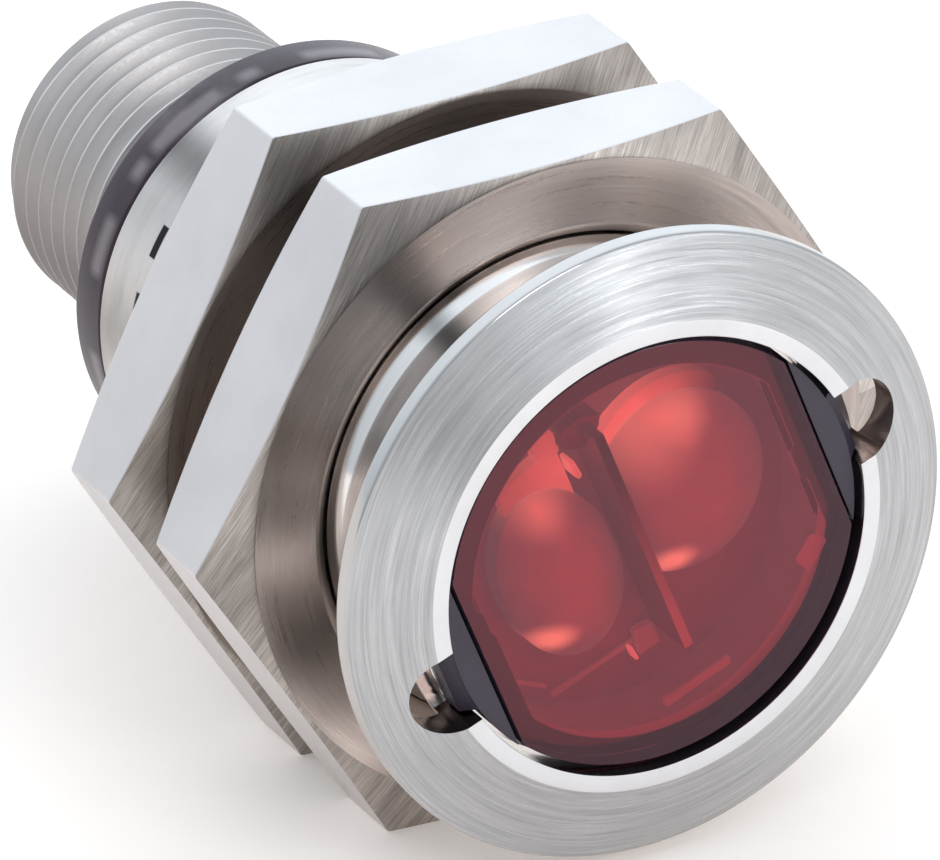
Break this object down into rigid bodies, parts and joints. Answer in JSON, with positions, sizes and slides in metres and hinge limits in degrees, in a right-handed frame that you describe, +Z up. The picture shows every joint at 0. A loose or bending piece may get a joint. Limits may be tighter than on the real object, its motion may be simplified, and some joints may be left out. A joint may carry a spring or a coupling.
{
  "type": "photoelectric sensor",
  "caption": "Cylindrical M18 photoelectric sensor with a flush-mount front flange, red optics window, hexagon lock nuts on a fine thread, a smoky indicator ring and an M12 plug connector.",
  "frame": {"origin": "on the sensor's axis, halfway between the front face and the connector's end", "axes": "+Y along the sensor's axis from the front face towards the connector, +Z up through a flat of each nut, +X to the right seen from the front"},
  "size_m": [0.0278, 0.0378, 0.024],
  "materials": {
    "stainless_barrel": "bright turned, with a polished rim and fine thread",
    "nut_steel": "turned faces, satin flats",
    "connector_metal": "matt metal",
    "red_window": "clear red, polished",
    "lens_plastic": "clear, moulded",
    "smoky_ring": "smoky translucent, glossy",
    "black_plastic": "black moulded",
    "seal_rubber": "black",
    "board_green": "solder mask",
    "chip_black": "moulded package",
    "capacitor_tan": "ceramic",
    "led_clear": "clear resin",
    "gold": "gold-plated"
  },
  "bodies": {
    "sensor": {"flanged_barrel": "stainless_barrel", "front_window": "red_window", "window_seal": "seal_rubber", "front_housing": "black_plastic", "emitter_lens": "lens_plastic", "receiver_lens": "lens_plastic", "light_barrier": "black_plastic", "optics_carrier": "black_plastic", "optics_board": "board_green", "emitter_led": "led_clear", "receiver_chip": "chip_black", "main_board": "board_green", "board_link": "chip_black", "evaluation_chip": "chip_black", "output_driver": "chip_black", "filter_capacitor_1": "capacitor_tan", "filter_capacitor_2": "capacitor_tan", "rear_board": "board_green", "indicator_led_1": "led_clear", "indicator_led_2": "led_clear", "indicator_led_3": "led_clear", "indicator_led_4": "led_clear", "indicator_ring": "smoky_ring", "connector_shell": "connector_metal", "connector_insert": "black_plastic", "contact_pin_1": "gold", "contact_pin_2": "gold", "contact_pin_3": "gold", "contact_pin_4": "gold", "front_seal": "seal_rubber", "barrel_seal": "seal_rubber", "connector_seal": "seal_rubber"},
    "front_nut": {"front_nut": "nut_steel"},
    "rear_nut": {"rear_nut": "nut_steel"}
  },
  "joints": [
    {"name": "front_nut_travel", "type": "slide", "parent": "sensor", "child": "front_nut", "axis": [0, 1, 0], "range_m": [-0.005, 0.001]},
    {"name": "rear_nut_travel", "type": "slide", "parent": "sensor", "child": "rear_nut", "axis": [0, 1, 0], "range_m": [-0.001, 0.003]}
  ]
}
